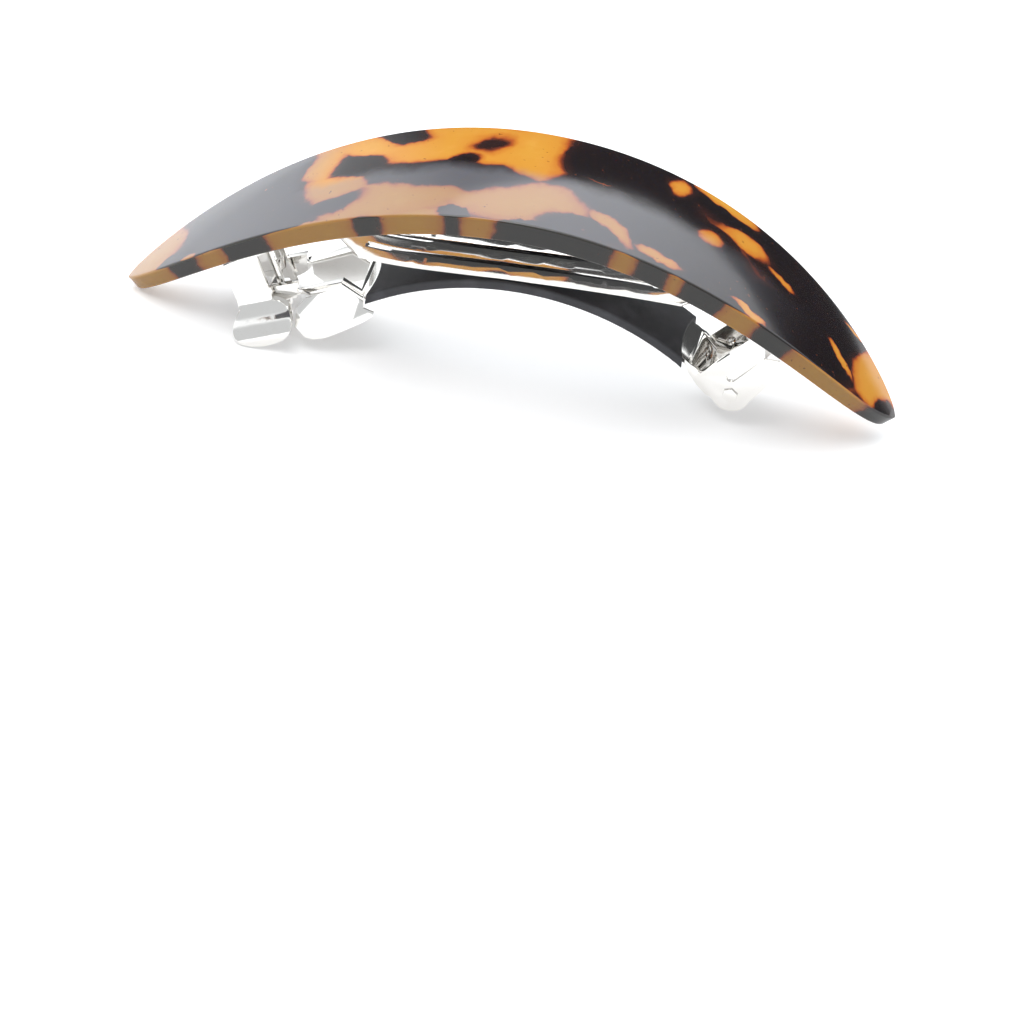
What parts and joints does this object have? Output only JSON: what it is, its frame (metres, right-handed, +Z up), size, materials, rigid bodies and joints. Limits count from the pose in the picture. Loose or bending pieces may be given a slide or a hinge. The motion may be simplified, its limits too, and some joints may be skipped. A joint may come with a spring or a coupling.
{
  "type": "hair barrette",
  "caption": "Bowed tortoiseshell hair barrette with a hinged, sprung snap clip and pinch-release finger pads on its underside.",
  "frame": {"origin": "midway between the tips of the bow, on its middle plane, level with its lowest point, the tip on the clasp's side", "axes": "+X along the bow from the clasp to the hinge, +Y across it, +Z up towards the crown"},
  "size_m": [0.1056, 0.0222, 0.0311],
  "materials": {
    "tortoiseshell_acetate": "polished cellulose acetate, dark brown patches in translucent amber",
    "clear_adhesive": "thin clear bond line",
    "plated_steel": "bright nickel-plated stamped steel",
    "plated_spring_steel": "bright nickel-plated spring steel",
    "black_grip": "matte black with a fine grain"
  },
  "bodies": {
    "bow": {"acetate_bow": "tortoiseshell_acetate", "adhesive_film": "clear_adhesive", "base_strip": "plated_steel", "hinge_pin": "plated_steel"},
    "arm": {"swing_arm": "plated_steel", "arm_sleeve": "black_grip"},
    "leaf": {"tension_spring": "plated_spring_steel"},
    "near_pad": {"clasp_pad_near": "plated_steel"},
    "far_pad": {"clasp_pad_far": "plated_steel"}
  },
  "joints": [
    {"name": "arm_hinge", "type": "hinge", "parent": "bow", "child": "arm", "pos_m": [0.03078, 0, 0.00517], "axis": [0, -1, 0], "range_deg": [0, 105]},
    {"name": "leaf_flex", "type": "hinge", "parent": "bow", "child": "leaf", "pos_m": [0.02948, 0, 0.01772], "axis": [0, 1, 0], "range_deg": [0, 2.4], "stiffness_Nm_per_rad": 1.9},
    {"name": "near_pad_squeeze", "type": "hinge", "parent": "bow", "child": "near_pad", "pos_m": [-0.03692, -0.0022, 0.01177], "axis": [0.7923, 0, 0.6101], "range_deg": [0, 2.4], "stiffness_Nm_per_rad": 0.7},
    {"name": "far_pad_squeeze", "type": "hinge", "parent": "bow", "child": "far_pad", "pos_m": [-0.03692, 0.0022, 0.01177], "axis": [-0.7923, 0, -0.6101], "range_deg": [0, 2.4], "stiffness_Nm_per_rad": 0.7}
  ]
}
